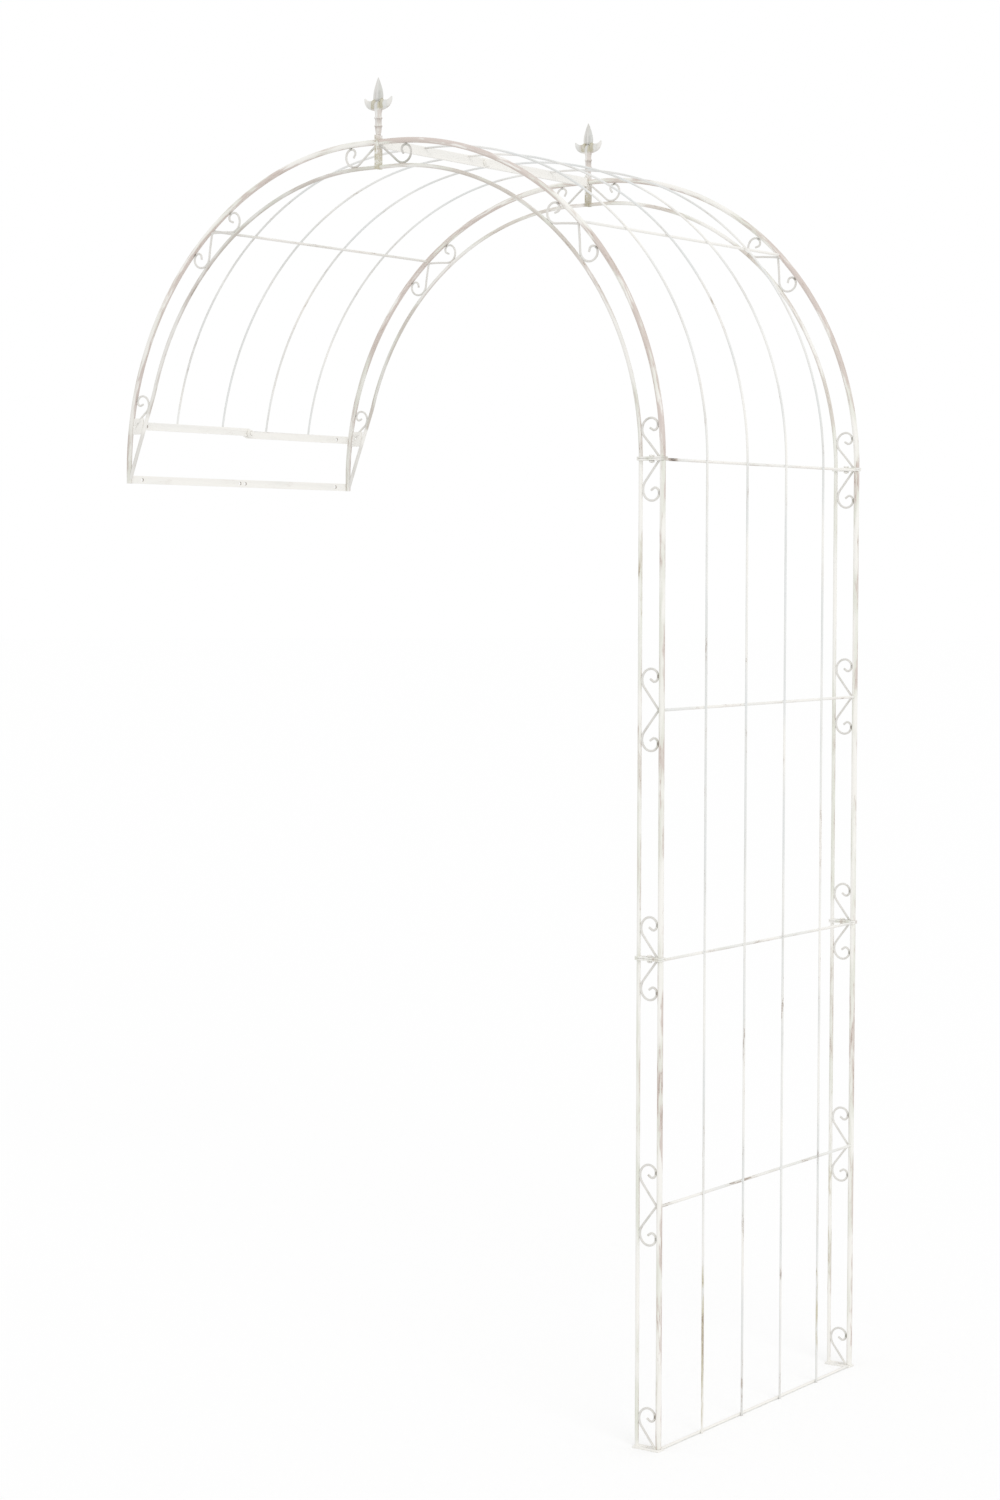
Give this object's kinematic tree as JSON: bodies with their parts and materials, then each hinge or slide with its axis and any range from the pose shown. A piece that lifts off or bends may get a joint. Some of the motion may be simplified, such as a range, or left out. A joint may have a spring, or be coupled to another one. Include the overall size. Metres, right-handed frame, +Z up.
{
  "type": "wall-mounted half garden arch",
  "caption": "Wall-side rose arch of painted steel tube: a braced leg, a barrel roof of rods, scrolled frames, leaf finials and bars that fix to a wall.",
  "frame": {"origin": "on the ground, midway between the wall plane and the leg's outer side and midway between the front and back frames", "axes": "+Z up, +X horizontal from the wall towards the leg, +Y horizontal from the front frame to the back frame"},
  "size_m": [1.2118, 0.686, 2.3683],
  "materials": {
    "hoop_paint": "satin antique white paint with rubbed rust-brown patches",
    "rail_paint": "satin antique white paint with rubbed rust-brown patches",
    "rod_paint": "satin antique white paint, greyer and darker low down",
    "crossbar_paint": "satin antique white paint",
    "flat_paint": "satin antique white paint, brown at the edges",
    "finial_paint": "matt greyish cream paint with brown recesses",
    "fastener_paint": "satin paint rubbed to the metal"
  },
  "bodies": {
    "root": {"front_lower_leg_tube": "hoop_paint", "front_upper_leg_tube": "hoop_paint", "front_leg_side_roof_tube": "hoop_paint", "front_wall_side_roof_tube": "hoop_paint", "front_lower_leg_rail": "rail_paint", "front_upper_leg_rail": "rail_paint", "front_leg_side_roof_rail": "rail_paint", "front_wall_side_roof_rail": "rail_paint", "front_finial": "finial_paint", "back_lower_leg_tube": "hoop_paint", "back_upper_leg_tube": "hoop_paint", "back_leg_side_roof_tube": "hoop_paint", "back_wall_side_roof_tube": "hoop_paint", "back_lower_leg_rail": "rail_paint", "back_upper_leg_rail": "rail_paint", "back_leg_side_roof_rail": "rail_paint", "back_wall_side_roof_rail": "rail_paint", "back_finial": "finial_paint", "lower_leg_rod_1": "rod_paint", "lower_leg_rod_2": "rod_paint", "lower_leg_rod_3": "rod_paint", "lower_leg_rod_4": "rod_paint", "upper_leg_rod_1": "rod_paint", "upper_leg_rod_2": "rod_paint", "upper_leg_rod_3": "rod_paint", "upper_leg_rod_4": "rod_paint", "leg_side_roof_rod_1": "rod_paint", "leg_side_roof_rod_2": "rod_paint", "leg_side_roof_rod_3": "rod_paint", "leg_side_roof_rod_4": "rod_paint", "wall_side_roof_rod_1": "rod_paint", "wall_side_roof_rod_2": "rod_paint", "wall_side_roof_rod_3": "rod_paint", "wall_side_roof_rod_4": "rod_paint", "foot_crossbar": "crossbar_paint", "leg_crossbar_1": "crossbar_paint", "leg_crossbar_2": "crossbar_paint", "leg_crossbar_3": "crossbar_paint", "leg_crossbar_4": "crossbar_paint", "leg_side_roof_crossbar": "crossbar_paint", "wall_side_roof_crossbar": "crossbar_paint", "leg_side_crown_bar": "flat_paint", "wall_side_crown_bar": "flat_paint", "low_wall_bar": "flat_paint", "front_high_wall_bar": "flat_paint", "back_high_wall_bar": "flat_paint", "front_middle_bolt": "fastener_paint", "front_middle_nut": "fastener_paint", "front_springing_bolt": "fastener_paint", "front_springing_nut": "fastener_paint", "back_middle_bolt": "fastener_paint", "back_middle_nut": "fastener_paint", "back_springing_bolt": "fastener_paint", "back_springing_nut": "fastener_paint", "crown_bolt": "fastener_paint", "crown_nut": "fastener_paint", "wall_lap_bolt": "fastener_paint", "wall_lap_nut": "fastener_paint"}
  },
  "joints": []
}
